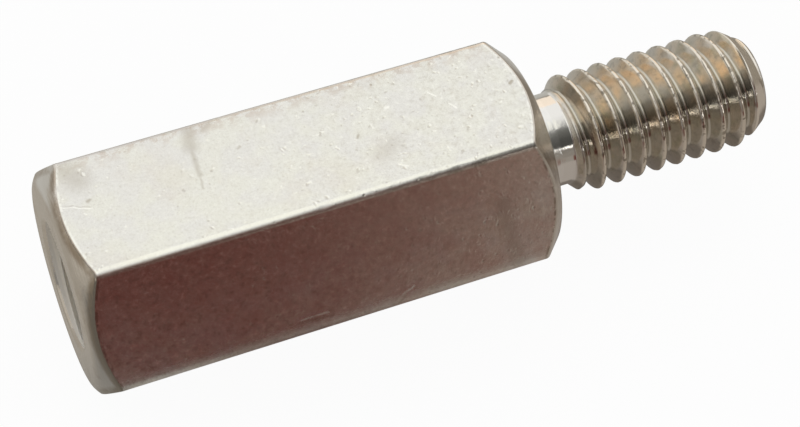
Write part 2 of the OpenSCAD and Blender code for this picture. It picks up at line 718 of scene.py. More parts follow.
@dataclass(frozen=True)
class Stud:
    """The neck, the threaded stud and its chamfered tip."""

    start: float = LAYOUT.body_length
    tip: float = LAYOUT.total
    neck_radius: float = 1.5
    neck_length: float = 1.25
    neck_fillet: float = 0.1
    fillet_strips: int = 5
    neck_rings: tuple[float, ...] = (0.3, 0.6, 0.82)
    crest_radius: float = 1.93
    root_radius: float = 1.49
    crest_width: float = 0.09
    crest_blend: float = 0.085
    root_blend: float = 0.045
    crest_room: float = 0.02
    burr: float = 0.014
    phase: float = 16.03
    thread_start: float = 15.9
    thread_turns: int = 10
    runout_slope: float = 45.0
    cone_blend: float = 0.02
    tip_length: float = 0.75
    tip_radius: float = 1.43
    tip_edge: float = 0.07
    edge_strips: int = 4
    tip_rings: tuple[float, ...] = (1.1, 0.7, 0.4)
    nub_foot: float = 0.224
    nub_radius: float = 0.14
    nub_height: float = 0.006
    dimple_radius: float = 0.084
    dimple_depth: float = 0.004

    @property
    def neck_end(self) -> float:
        """Where the neck ends and the run-out begins, from the tapped face."""
        return self.start + self.neck_length

    @property
    def tip_fall(self) -> float:
        """How much narrower the tip's chamfer gets with each millimetre."""
        return (self.crest_radius - self.tip_radius) / self.tip_length

    def blank(self, along: np.ndarray) -> np.ndarray:
        """Radius of the turned blank: neck, run-out, crests and tip chamfer.

        Args:
            along: Distances from the tapped face.

        Returns:
            The radius at each distance.
        """
        climb = np.clip(along - self.neck_end, 0, None)
        runout = self.neck_radius + climb * math.tan(math.radians(self.runout_slope))
        cone = self.tip_radius + (self.tip - along) * self.tip_fall
        turned = soft_min(runout, cone, self.cone_blend)
        return np.minimum(turned, self.crest_radius + self.crest_room)

    def thread(self) -> Thread:
        """The thread on the stud."""
        return Thread(
            envelope=self.blank,
            crest_radius=self.crest_radius,
            root_radius=self.root_radius,
            crest_width=self.crest_width,
            phase=self.phase,
            finish=Finish.THREADED,
            crest_blend=self.crest_blend,
            root_blend=self.root_blend,
            burr=self.burr,
            plain_to=self.neck_end,
        )

    def wind(self, skin: Skin) -> None:
        """Winds the neck, the thread, the tip's chamfer and the tip.

        Args:
            skin: The skin to wind it on.
        """
        corner = level(self.start, self.neck_radius, skin.columns)
        face = (corner[0], corner[1] + 1)
        neck = (corner[0] + 1, corner[1])
        fillet = rounded(face, corner, neck, self.neck_fillet, self.fillet_strips)
        skin.rings(fillet, Finish.TURNED)
        for along in self.neck_rings:
            skin.ring(self.start + along, self.neck_radius, Finish.NECK)
        end = skin.spiral(self.thread(), self.thread_start, self.thread_turns, Toward.STUD)
        edge = level(self.tip, self.tip_radius, skin.columns)
        chamfer = level(end, self.blank(end), skin.columns)
        middle = level(self.tip, 0.0, skin.columns)
        skin.rings(rounded(chamfer, edge, middle, self.tip_edge, self.edge_strips), Finish.TURNED)
        for radius in (*self.tip_rings, self.nub_foot):
            skin.ring(self.tip, radius, Finish.TURNED)
        skin.ring(self.tip + self.nub_height, self.nub_radius, Finish.TURNED)
        skin.ring(self.tip - self.dimple_depth, self.dimple_radius, Finish.TURNED)
        skin.end(self.tip - self.dimple_depth, Finish.TURNED)


# ---------------------------------------------------------------------------
# Shader maths


class Signal:
    """A socket in a shader, on which arithmetic adds Math nodes."""

    def __init__(self, graph: "ShaderGraph", socket: bpy.types.NodeSocket) -> None:
        """Wraps a socket of a graph."""
        self.graph = graph
        self.socket = socket

    def __add__(self, other: Value) -> "Signal":
        """Sum."""
        return self.graph.math("ADD", self, other)

    def __radd__(self, other: Value) -> "Signal":
        """Sum with a number on the left."""
        return self.graph.math("ADD", other, self)

    def __sub__(self, other: Value) -> "Signal":
        """Difference."""
        return self.graph.math("SUBTRACT", self, other)

    def __rsub__(self, other: Value) -> "Signal":
        """Difference from a number on the left."""
        return self.graph.math("SUBTRACT", other, self)

    def __mul__(self, other: Value) -> "Signal":
        """Product."""
        return self.graph.math("MULTIPLY", self, other)

    def __rmul__(self, other: Value) -> "Signal":
        """Product with a number on the left."""
        return self.graph.math("MULTIPLY", other, self)


@dataclass(frozen=True)
class Grain:
    """A fractal noise: features per millimetre, finer layers, their strength and its shift."""

    scale: float
    layers: float = 3.0
    rough: float = 0.6
    shift: Point | None = None


@dataclass(frozen=True)
class Tint:
    """A colour that comes in as a mask goes through a span, and how strongly."""

    span: Span
    colour: Colour
    strength: float = 1.0


class ShaderGraph:
    """The node tree of a material or world, with short ways to add to it."""

    SOFT_EDGE = 1.15

    def __init__(self, owner: bpy.types.Material | bpy.types.World) -> None:
        """Starts on an emptied tree.

        Args:
            owner: The material or world that the tree dresses.
        """
        owner.use_nodes = True
        self.owner = owner
        self.tree = owner.node_tree
        self.tree.nodes.clear()

    @classmethod
    def material(cls, name: str) -> "ShaderGraph":
        """The graph of a new material."""
        return cls(bpy.data.materials.new(name))

    def node(
        self, kind: str, settings: Mapping[str, object] | None = None,
        inputs: Mapping[str | int, Input] | None = None,
    ) -> bpy.types.Node:
        """Adds a node.

        Args:
            kind: The node's type, such as ShaderNodeBump.
            settings: Its settings, by attribute.
            inputs: Values or signals for its sockets, by name or number.

        Returns:
            The new node.
        """
        made = self.tree.nodes.new(kind)
        for name, value in (settings or {}).items():
            setattr(made, name, value)
        for name, value in (inputs or {}).items():
            socket = made.inputs[name]
            if isinstance(value, Signal):
                self.tree.links.new(value.socket, socket)
            else:
                socket.default_value = (*value, 1.0) if socket.type == "RGBA" else value
        return made

    def out(self, made: bpy.types.Node, name: str | int = 0) -> Signal:
        """One output of a node as a signal."""
        return Signal(self, made.outputs[name])

    def math(self, operation: str, *operands: Value, clamp: bool = False) -> Signal:
        """Adds a Math node.

        Args:
            operation: The node's operation.
            operands: Numbers or signals, in the node's order.
            clamp: Whether the result stays between 0 and 1.

        Returns:
            The result.
        """
        settings = {"operation": operation, "use_clamp": clamp}
        return self.out(self.node("ShaderNodeMath", settings, dict(enumerate(operands))))

    def larger(self, first: Value, second: Value) -> Signal:
        """The larger of two values."""
        return self.math("MAXIMUM", first, second)

    def band(self, value: Value, span: Span) -> Signal:
        """A smooth step from 0 at a span's first value to 1 at its second, which may be lower."""
        inputs = {"Value": value, "From Min": span[0], "From Max": span[1]}
        return self.out(self.node("ShaderNodeMapRange", {"interpolation_type": "SMOOTHSTEP"}, inputs))

    def blend(self, share: Value, first: Input, second: Input) -> Signal:
        """Mixes two colours, from the first at 0 to the second at 1."""
        made = self.node("ShaderNodeMix", {"data_type": "RGBA"}, {0: share, 6: first, 7: second})
        return self.out(made, 2)

    def tinted(self, colour: Input, mask: Value, tint: Tint, part: Value = 1.0) -> Signal:
        """Brings a tint into a colour.

        Args:
            colour: The colour so far.
            mask: What the tint's span is measured on.
            tint: The tint.
            part: How much of the tint the place gets.

        Returns:
            The colour with the tint in it.
        """
        return self.blend(self.band(mask, tint.span) * (part * tint.strength), colour, tint.colour)

    def vector(self, operation: str, *operands: Input) -> Signal:
        """Adds a Vector Math node.

        Args:
            operation: The node's operation.
            operands: Vectors or signals, in the node's order.

        Returns:
            Its vector, or its number where the operation gives one.
        """
        inputs = dict(enumerate(operands))
        made = self.node("ShaderNodeVectorMath", {"operation": operation}, inputs)
        scalar = operation in ("LENGTH", "DISTANCE", "DOT_PRODUCT")
        return self.out(made, "Value" if scalar else "Vector")

    def scaled(self, where: Input, scale: Value) -> Signal:
        """A vector made longer or shorter."""
        inputs = {0: where, "Scale": scale}
        return self.out(self.node("ShaderNodeVectorMath", {"operation": "SCALE"}, inputs))

    def reach(self, where: Signal, way: Point) -> Signal:
        """How far places lie along a direction."""
        return self.vector("DOT_PRODUCT", where, way)

    @cached_property
    def here(self) -> Signal:
        """Each place in millimetres of the shared frame."""
        place = self.out(self.node("ShaderNodeTexCoord"), "Object")
        return self.scaled(place, 1 / MM)

    @cached_property
    def along(self) -> Signal:
        """How far each place lies toward the stud's end."""
        return self.reach(self.here, ALONG)

    @cached_property
    def across(self) -> Signal:
        """How far each place lies toward the back."""
        return self.reach(self.here, BACK)

    @cached_property
    def height(self) -> Signal:
        """How high each place lies."""
        return self.reach(self.here, UP)

    def noise(self, grain: Grain, line: Signal | None = None) -> Signal:
        """Fractal noise from 0 to 1.

        Args:
            grain: Its kind.
            line: The value it runs along, for tool marks. Else it fills space.

        Returns:
            The noise.
        """
        inputs = {"Scale": grain.scale, "Detail": grain.layers, "Roughness": grain.rough}
        if line is not None:
            settings = {"noise_dimensions": "1D"}
            return self.out(self.node("ShaderNodeTexNoise", settings, {"W": line, **inputs}))
        place = self.vector("ADD", self.here, grain.shift) if grain.shift else self.here
        return self.out(self.node("ShaderNodeTexNoise", {}, {"Vector": place, **inputs}))

    def bent(self, scale: float, far: float) -> Signal:
        """Places moved about by a noise, to bend what would be straight or round.

        Args:
            scale: Features of the noise per millimetre.
            far: How far apart it may move them, in millimetres.

        Returns:
            The moved places.
        """
        inputs = {"Vector": self.here, "Scale": scale, "Detail": 1.0}
        parts = self.out(self.node("ShaderNodeTexNoise", {}, inputs), "Color")
        centred = self.vector("SUBTRACT", parts, (0.5, 0.5, 0.5))
        return self.vector("ADD", self.here, self.scaled(centred, far))

    def cells(self, where: Signal, scale: float) -> Signal:
        """Distance to the nearest of scattered points, in cells."""
        made = self.node("ShaderNodeTexVoronoi", {}, {"Vector": where, "Scale": scale})
        return self.out(made, "Distance")

    def bumps(self, *layers: tuple[Signal, float]) -> Signal:
        """Bumps on top of each other.

        Args:
            layers: For each, its height and how many micrometres a height of 1 is.

        Returns:
            The normal.
        """
        normal: dict[str, Input] = {}
        for height, depth in layers:
            inputs = {"Height": height, "Distance": depth * MICRON, "Strength": 1.0, **normal}
            normal = {"Normal": self.out(self.node("ShaderNodeBump", {}, inputs))}
        return normal["Normal"]

    def streak(self, where: Signal, start: Point, end: Point, width: float) -> Signal:
        """A soft stroke, 1 along its middle and 0 beyond its width.

        Args:
            where: Places it is made at.
            start: Where its middle begins.
            end: Where its middle ends.
            width: How far it reaches to each side.

        Returns:
            How much of the stroke there is at each place.
        """
        way = Vector(end) - Vector(start)
        away = self.vector("SUBTRACT", where, start)
        share = self.math("DIVIDE", self.reach(away, tuple(way)), way.length_squared, clamp=True)
        off = self.vector("DISTANCE", away, self.scaled(tuple(way), share))
        return self.band(off, (width * self.SOFT_EDGE, 0.0))

    def shown(self) -> Signal:
        """1 for rays from the camera or by way of metal or glass, and 0 for the others.

        Returns:
            The share.
        """
        path = self.node("ShaderNodeLightPath")
        seen = self.out(path, "Is Camera Ray") + self.out(path, "Is Glossy Ray")
        return self.math("ADD", seen, self.out(path, "Is Transmission Ray"), clamp=True)

    def end(
        self, shader: bpy.types.Node, output: str = "ShaderNodeOutputMaterial"
    ) -> bpy.types.Material | bpy.types.World:
        """Ends the tree in a shader and hands over what it dresses."""
        self.node(output, {}, {"Surface": self.out(shader)})
        return self.owner

    def glow(self, colour: Input) -> bpy.types.Material:
        """Ends the tree in a plain glow."""
        return self.end(self.node("ShaderNodeEmission", {}, {"Color": colour, "Strength": 1.0}))


class MetalGraph(ShaderGraph):
    """A metal's node tree, which ends in one Principled shader."""

    FLAT_TURNS = (90, 150, 210)

    @cached_property
    def off_axis(self) -> Signal:
        """Each place, measured from the middle of the axis."""
        return self.vector("SUBTRACT", self.here, (0.0, 0.0, LAYOUT.axis_height))

    @cached_property
    def from_axis(self) -> Signal:
        """Distance of each place from the axis."""
        return self.vector("LENGTH", self.vector("MULTIPLY", self.off_axis, (0.0, 1.0, 1.0)))

    def from_flats(self) -> Signal:
        """Distance of each place from the axis, measured square to the nearest flat.

        Returns:
            The distance, in millimetres.
        """
        far: Value = 0.0
        for turn in map(math.radians, self.FLAT_TURNS):
            square = self.reach(self.off_axis, (0.0, math.cos(turn), math.sin(turn)))
            far = self.larger(self.math("ABSOLUTE", square), far)
        return far

    def finish(self, colour: Input, roughness: Value, normal: Signal) -> bpy.types.Material:
        """Ends the tree in the metal's shader."""
        inputs = {"Base Color": colour, "Metallic": 1.0, "Roughness": roughness, "Normal": normal}
        return self.end(self.node("ShaderNodeBsdfPrincipled", {}, inputs))


# ---------------------------------------------------------------------------
# Finishes


class Effect(Enum):
    """What a mark does to the plating."""

    SOIL = "darkens it"
    RUB = "makes it dull"
    SCRAPE = "makes it bright"


@dataclass(frozen=True)
class Mark:
    """A stroke on the flats, and how strong its effect is."""

    effect: Effect
    strength: float
    width: float
    start: Point
    end: Point


@dataclass(frozen=True)
class FlatMasks:
    """How much there is at each place on the flats of what their colour depends on."""

    upper: Signal
    front: Signal
    worn: Signal
    cloud: Signal
    mottle: Signal
    grain: Signal
    # The next two are the painted highlight and the painted shade of small raised specks.
    fleck_highlights: Signal
    shades: Signal
    pits: Signal


@dataclass(frozen=True)
class DrawnPlate:
    """Satin nickel over the drawn flats: grain, pits, faint stains and rubs; painted highlights and
    shade on specks, edges and chamfer lines; a painted reflection in front.
    """

    name: str = "satin_nickel_flats"
    ivory: Colour = (0.79, 0.78, 0.712)
    cool: Colour = (0.775, 0.762, 0.722)
    stained: Colour = (0.70, 0.63, 0.53)
    # Dark colour of the pits and of the painted shade at specks, edges and chamfer lines.
    grime_and_shade: Colour = (0.34, 0.29, 0.23)
    soiled: Colour = (0.50, 0.46, 0.39)
    tan: Colour = (0.58, 0.49, 0.41)
    bright: Colour = (0.97, 0.96, 0.89)
    # Colour of the painted reflection on the front flat.
    rosy_reflection: Colour = (0.725, 0.62, 0.56)
    dark_edge: Colour = (0.75, 0.72, 0.69)

    cloud: Grain = Grain(0.45, rough=0.55)
    mottle: Grain = Grain(2.2)
    grain: Grain = Grain(12.0, rough=0.75)
    tone: Grain = Grain(1.2, 2.0, 0.5, (11.0, 5.0, 2.0))
    speck: Grain = Grain(5.5, 4.0, 0.75)
    # Noise that makes the painted front reflection uneven.
    front_reflection: Grain = Grain(0.7, rough=0.65)
    edge_stain: Grain = Grain(3.2, rough=0.7)
    # Noise that breaks up the painted light and shade of the chamfer lines.
    arc_breakup: Grain = Grain(5.0, rough=0.7)
    pitted: Grain = Grain(0.8, 1.0, 0.5)

    top_heights: Span = (6.87, 6.92)
    front_places: Span = (0.0, -1.5)
    worn_places: Span = (-9.0, 1.0)
    fleck_cells: float = 3.6
    fleck_size: Span = (0.26, 0.10)
    shade_shift: Point = (0.055, 0.035, -0.02)
    pit_cells: float = 2.6
    pit_size: Span = (0.16, 0.05)
    arc_reach: Span = (-0.15, -0.09)
    ends: tuple[TurnedEnd, ...] = (SHOULDER, TAPPED_END)

    @staticmethod
    def marks() -> list[Mark]:
        """The marks on the upper flat and on the one in front; most were left by handling."""
        top = LAYOUT.across_flats
        return [
            Mark(Effect.SOIL, 0.58, 0.36, (-6.85, 1.95, top), (-6.98, 1.25, top)),
            Mark(Effect.SOIL, 0.55, 0.13, (-6.98, 1.25, top), (-7.05, 0.25, top)),
            Mark(Effect.SOIL, 0.50, 0.06, (-7.05, 0.25, top), (-7.10, -0.25, top)),
            Mark(Effect.SOIL, 0.40, 0.16, (-6.49, 1.70, top), (-6.20, 1.90, top)),
            Mark(Effect.SOIL, 0.30, 0.50, (-1.70, -0.80, top), (-1.25, -0.60, top)),
            Mark(Effect.SOIL, 0.52, 0.62, (-10.75, 1.75, top), (-10.45, 1.25, top)),
            Mark(Effect.SOIL, 0.4, 0.03, (-11.20, 0.56, top), (-10.35, 0.23, top)),
            Mark(Effect.SOIL, 0.9, 0.09, (-10.37, 0.45, top), (-10.33, 0.47, top)),
            Mark(Effect.SOIL, 1.2, 0.06, (2.86, 0.27, top), (2.96, 0.34, top)),
            Mark(Effect.SOIL, 0.9, 0.07, (-2.20, -0.04, top), (-2.17, 0.00, top)),
            Mark(Effect.SOIL, 0.6, 0.07, (-5.68, 0.76, top), (-5.60, 0.80, top)),
            # A wide dark diagonal stroke across the front flat, which only darkens its colour.
            Mark(Effect.SOIL, 0.42, 0.42, (1.45, -2.85, 5.50), (1.72, -3.90, 3.66)),
            Mark(Effect.SOIL, 0.4, 0.05, (-2.22, -4.00, 3.50), (-1.94, -3.89, 3.70)),
            Mark(Effect.SOIL, 0.55, 0.09, (-5.26, -3.80, 3.84), (-4.32, -3.83, 3.80)),
            Mark(Effect.RUB, 0.9, 0.045, (-2.30, -3.97, 3.55), (-1.98, -3.84, 3.78)),
            Mark(Effect.RUB, 0.9, 0.040, (-1.98, -3.84, 3.78), (-1.67, -3.76, 3.90)),
            Mark(Effect.RUB, 0.6, 0.04, (-5.30, -3.74, 3.94), (-4.40, -3.75, 3.92)),
            Mark(Effect.SCRAPE, 0.9, 0.03, (-11.20, 0.50, top), (-10.35, 0.17, top)),
            Mark(Effect.SCRAPE, 0.9, 0.045, (0.38, 0.79, top), (0.55, 0.60, top)),
            Mark(Effect.SCRAPE, 0.9, 0.045, (0.84, 0.18, top), (0.98, 0.00, top)),
            Mark(Effect.SCRAPE, 0.9, 0.045, (-1.40, -1.34, top), (-1.18, -1.48, top)),
            Mark(Effect.SCRAPE, 0.9, 0.08, (-1.06, 0.69, top), (-0.98, 0.69, top)),
        ]

    def _strokes(self, g: MetalGraph) -> dict[Effect, Value]:
        """How far each effect of the marks goes at each place.

        Args:
            g: The metal's node tree.

        Returns:
            The strength of each effect.
        """
        wavy = g.bent(5.0, 0.09)
        total: dict[Effect, Value] = dict.fromkeys(Effect, 0.0)
        for mark in self.marks():
            stroke = g.streak(wavy, mark.start, mark.end, mark.width) * mark.strength
            total[mark.effect] = g.larger(stroke, total[mark.effect])
        return total

    def _masks(self, g: MetalGraph) -> FlatMasks:
        """Works out the masks that several layers share.

        Args:
            g: The metal's node tree.

        Returns:
            The masks.
        """
        upper = g.band(g.height, self.top_heights)
        worn = g.band(g.along, self.worn_places)
        mottle = g.noise(self.mottle)
        bent = g.bent(4.0, 0.30)
        often = g.band(mottle + worn * 0.12, (0.50, 0.66))
        # A shifted copy of the speck cells, for their painted shade.
        beside = g.vector("ADD", bent, self.shade_shift)
        pits = g.band(g.cells(g.here, self.pit_cells), self.pit_size)
        return FlatMasks(
            upper=upper,
            front=g.band(g.across, self.front_places) * (1.0 - upper),
            worn=worn,
            cloud=g.noise(self.cloud),
            mottle=mottle,
            grain=g.noise(self.grain),
            fleck_highlights=g.band(g.cells(bent, self.fleck_cells), self.fleck_size) * often,
            shades=g.band(g.cells(beside, self.fleck_cells), self.fleck_size) * often,
            pits=pits * g.band(g.noise(self.pitted), (0.48, 0.62)),
        )

    def _plating(self, g: MetalGraph, m: FlatMasks) -> Signal:
        """The plating's colour, with its faint stains and a painted rosy reflection on the front
        flat.

        Args:
            g: The metal's node tree.
            m: The masks of the flats.

        Returns:
            The colour.
        """
        tone = g.band(g.noise(self.tone), (0.38, 0.62))
        colour = g.blend(tone, self.ivory, self.cool)
        stain = g.band(m.cloud, (0.52, 0.75)) * 0.22 + g.band(m.mottle, (0.55, 0.75)) * 0.14
        colour = g.blend(stain, colour, self.stained)
        # Painted reflection: an uneven rosy tint on the front flat, strongest toward its top edge.
        front_reflection = g.band(g.noise(self.front_reflection), (0.42, 0.62)) * (0.25 + m.worn * 0.45)
        front_reflection = g.larger(front_reflection, g.band(g.height, (4.6, 6.6)) * 0.85) * m.front
        return g.blend(front_reflection, colour, self.rosy_reflection)

    def _speckles(self, g: MetalGraph, m: FlatMasks, colour: Signal) -> Signal:
        """Adds the coarse and the fine speckles.

        Args:
            g: The metal's node tree.
            m: The masks of the flats.
            colour: The colour so far.

        Returns:
            The colour with them in it.
        """
        speck = g.noise(self.speck)
        rough_part = (0.25 + m.worn * 0.95) * (1.0 - m.front) + m.front * (2.4 - m.worn * 1.2)
        colour = g.tinted(colour, speck, Tint((0.51, 0.66), self.soiled, 0.24), rough_part)
        colour = g.tinted(colour, speck, Tint((0.46, 0.32), self.bright, 0.34), rough_part)
        colour = g.tinted(colour, m.grain, Tint((0.52, 0.72), self.soiled, 0.26))
        return g.tinted(colour, m.grain, Tint((0.48, 0.28), self.bright, 0.16), 1.0 + m.upper)

    def _edges(self, g: MetalGraph, m: FlatMasks, colour: Signal) -> Signal:
        """Adds what the long edges show: a painted highlight in front, painted shade under the top
        flat's edges and a darker line at the back.

        Args:
            g: The metal's node tree.
            m: The masks of the flats.
            colour: The colour so far.

        Returns:
            The colour with them in it.
        """
        corner = g.band(g.from_axis, (3.905, 3.945))
        # Painted highlight along the top flat's front edge.
        edge_highlight = corner * g.band(g.height, (6.90, 6.945)) * g.band(g.across, (1.0, -1.0))
        colour = g.blend(edge_highlight * 0.45, colour, self.bright)
        far = g.band(g.from_axis, (3.958, 3.969)) * g.band(g.across, (1.6, 1.8))
        colour = g.blend(far * g.band(g.height, (5.5, 6.0)), colour, self.dark_edge)
        # Painted shade on the side flats just under the top flat's edges, toward the stud end, broken
        # up by the mottle.
        under = g.band(g.from_axis, (3.90, 3.95)) * g.band(g.height, (6.93, 6.88))
        under = under * g.band(g.height, (5.9, 6.1)) * g.band(g.along, (-4.0, 1.0))
        return g.tinted(colour, m.mottle, Tint((0.44, 0.58), self.grime_and_shade, 0.6), under)

    def _arc_light_and_shade(self, g: MetalGraph) -> Signal:
        """Broken lines where the chamfers meet the flats, which carry painted shade and painted
        highlight.

        Args:
            g: The metal's node tree.

        Returns:
            How strong they are at each place.
        """
        total: Value = 0.0
        for end in self.ends:
            out = g.along * float(end.toward) + g.from_axis * end.rise
            arc = end.toward * (end.position - LAYOUT.origin) + end.face_radius * end.rise
            low, high = self.arc_reach
            total = g.larger(g.band(out, (arc + low, arc + high)), total)
        return total * g.band(g.noise(self.arc_breakup), (0.40, 0.58))

    def _colour(self, g: MetalGraph, m: FlatMasks, strokes: dict[Effect, Value]) -> Signal:
        """Lays all the colours over each other.

        Args:
            g: The metal's node tree.
            m: The masks of the flats.
            strokes: The strength of each effect of the marks.

        Returns:
            The colour of the flats.
        """
        colour = self._speckles(g, m, self._plating(g, m))
        far_edge = g.band(g.across, (1.35, 1.95)) * m.upper
        edge_stain = Tint((0.44, 0.62), self.tan, 0.6)
        colour = g.tinted(colour, g.noise(self.edge_stain), edge_stain, far_edge)
        colour = g.blend(strokes[Effect.SOIL], colour, self.soiled)
        colour = self._edges(g, m, colour)
        # Painted shade beside the specks, with the darkened pits; less of both off the top flat.
        dark = g.larger(m.pits * 0.6, m.shades * 0.36) * (0.4 + m.upper * 0.6)
        # Painted shade along the chamfer lines on the side flats, and painted highlight along them on
        # the top flat.
        arc_light_shade = self._arc_light_and_shade(g)
        colour = g.blend(g.larger(dark, arc_light_shade * (1.0 - m.upper) * 0.7), colour, self.grime_and_shade)
        colour = g.blend(arc_light_shade * m.upper * 0.6, colour, self.bright)
        # Painted highlight on the specks, stronger on the top flat.
        shown = m.fleck_highlights * (0.22 + m.upper * 0.45)
        return g.blend(g.larger(shown, strokes[Effect.SCRAPE]), colour, self.bright)

    def material(self) -> bpy.types.Material:
        """Builds the material.

        Returns:
            The finished material.
        """
        g = MetalGraph.material(self.name)
        m = self._masks(g)
        strokes = self._strokes(g)
        lower_edge = g.band(g.across, (-3.78, -4.03)) * (0.35 + m.mottle * 0.6)
        dull = g.larger(strokes[Effect.RUB], lower_edge)
        roughness = 0.17 + m.mottle * 0.08 + m.grain * 0.05 + dull * 0.30
        dents = (m.fleck_highlights * 0.5 - m.pits - m.shades * 0.5) * (0.4 + m.upper * 0.6)
        normal = g.bumps((m.cloud, 18.0), (m.mottle, 4.5), (m.grain, 1.4), (dents, 8.0))
        return g.finish(self._colour(g, m, strokes), roughness, normal)


@dataclass(frozen=True)
class TurnedPlate:
    """Nickel over turned surfaces: rings left by the tool under a brighter plating."""

    name: str = "bright_nickel_turned"
    clean: Colour = (0.79, 0.76, 0.71)
    dull: Colour = (0.62, 0.56, 0.49)
    # Colour of the painted shade on the chamfers next to the flats, and where it lies.
    rim_shade: Colour = (0.42, 0.35, 0.27)
    rim_reach: Span = (3.18, 3.36)
    cloud: Grain = Grain(1.1)
    grain: Grain = Grain(22.0, 2.0)
    tool_rings: Grain = Grain(9.0)
    grain_depth: float = 1.2

    def material(self) -> bpy.types.Material:
        """Builds the material.

        Returns:
            The finished material.
        """
        g = MetalGraph.material(self.name)
        rings = g.noise(self.tool_rings, g.along + g.from_axis)
        cloud = g.noise(self.cloud)
        grain = g.noise(self.grain)
        colour = g.tinted(self.clean, cloud, Tint((0.45, 0.75), self.dull, 0.7))
        # Painted shade on the chamfers along the line where they meet the flats, broken up by the
        # cloud and strongest at the tapped end.
        tapped_part = 0.4 + g.band(g.along, (0.0, -1.0)) * 0.45
        arc_shade_part = g.band(g.from_flats(), self.rim_reach) * tapped_part
        colour = g.tinted(colour, cloud, Tint((0.20, 0.50), self.rim_shade), arc_shade_part)
        roughness = 0.10 + cloud * 0.08 + rings * 0.04
        normal = g.bumps((cloud, 20.0), (rings, 4.5), (grain, self.grain_depth))
        return g.finish(colour, roughness, normal)


@dataclass(frozen=True)
class ThreadPlate:
    """Nickel over the threads: bright crests and roots, and dull, stained flanks with a painted warm
    reflection.
    """

    name: str = "bright_nickel_threads"
    neck: Colour = (0.82, 0.80, 0.76)
    bright: Colour = (0.80, 0.74, 0.64)
    root: Colour = (0.58, 0.55, 0.48)
    flank: Colour = (0.60, 0.57, 0.51)
    # Colour of the painted warm reflection on the flanks.
    orange_reflection: Colour = (0.82, 0.66, 0.475)
    olive: Colour = (0.52, 0.505, 0.40)
    soot: Colour = (0.36, 0.335, 0.29)
    blush: Colour = (0.70, 0.60, 0.52)
    tarnish: Colour = (0.34, 0.30, 0.24)
    tip: Colour = (0.85, 0.80, 0.71)

    cloud: Grain = Grain(1.3)
    patch: Grain = Grain(0.9, 2.0, 0.5, (7.0, 3.0, 5.0))
    grain: Grain = Grain(14.0)
    mottle: Grain = Grain(4.5, rough=0.65)
    wear: Grain = Grain(5.0, 2.0)

    stud: Stud = Stud()
    flank_middle: float = 1.72
    flank_reach: float = 0.20
    root_radius: float = 1.60
    edge: float = 0.07
    neck_fade: float = 0.25
    tip_edge: Span = (-0.06, -0.02)
    reflection_heights: Span = (4.2, 5.0)
    haze_heights: Span = (4.45, 4.80)
    flank_haze: float = 0.09
    shine: float = 0.055

    def _flanks(self, g: MetalGraph, cloud: Signal, mottle: Signal) -> Signal:
        """Colour of the flanks: stains, and a painted warm reflection that is strongest on the upper
        side.

        Args:
            g: The metal's node tree.
            cloud: The broad noise.
            mottle: The fine noise.

        Returns:
            The colour.
        """
        # Painted reflection: warm patches on the flanks, strongest on the upper side of the stud.
        reflection_part = 0.2 + g.band(g.height, self.reflection_heights) * 0.8
        patch = g.noise(self.patch)
        colour = g.tinted(self.flank, patch, Tint((0.40, 0.74), self.orange_reflection), reflection_part)
        colour = g.tinted(colour, cloud, Tint((0.50, 0.72), self.olive, 0.8))
        colour = g.tinted(colour, mottle, Tint((0.50, 0.70), self.soot, 0.45))
        return g.tinted(colour, mottle, Tint((0.46, 0.30), self.blush, 0.45))

    def material(self) -> bpy.types.Material:
        """Builds the material.

        Returns:
            The finished material.
        """
        g = MetalGraph.material(self.name)
        cloud = g.noise(self.cloud)
        grain = g.noise(self.grain)
        mottle = g.noise(self.mottle)
        neck_end = self.stud.neck_end - LAYOUT.origin
        tip_cone = self.stud.tip_radius + LAYOUT.origin * self.stud.tip_fall
        off_middle = g.math("ABSOLUTE", g.from_axis - self.flank_middle)
        flank = g.band(off_middle, (self.flank_reach, self.flank_reach - self.edge))
        deep = g.band(g.from_axis, (self.root_radius, self.root_radius - self.edge))
        deep = deep * g.band(g.along, (neck_end, neck_end + self.edge))
        wear = g.noise(self.wear)
        crest = g.tinted(self.bright, wear, Tint((0.47, 0.39), self.tarnish, 0.85))
        crest = g.blend(g.band(g.along, (neck_end, neck_end + self.neck_fade)), self.neck, crest)
        colour = g.blend(deep, crest, self.root)
        colour = g.blend(flank, colour, self._flanks(g, cloud, mottle))
        low, high = (tip_cone + edge for edge in self.tip_edge)
        chamfer = g.band(g.from_axis + g.along * self.stud.tip_fall, (low, high))
        colour = g.blend(chamfer, colour, self.tip)
        haze = flank * self.flank_haze * (0.4 + g.band(g.height, self.haze_heights) * 0.6)
        roughness = self.shine + cloud * 0.05 + grain * 0.03 + haze
        return g.finish(colour, roughness, g.bumps((cloud, 7.0), (mottle, 1.2), (grain, 0.8)))


# ---------------------------------------------------------------------------
# The part


def add_object(name: str, data: bpy.types.ID) -> bpy.types.Object:
    """Makes an object and links it to the scene.

    Args:
        name: Its name.
        data: Its mesh, light or camera.

    Returns:
        The object.
    """
    made = bpy.data.objects.new(name, data)
    bpy.context.scene.collection.objects.link(made)
    LOG.info("%s is in the scene", name)
    return made


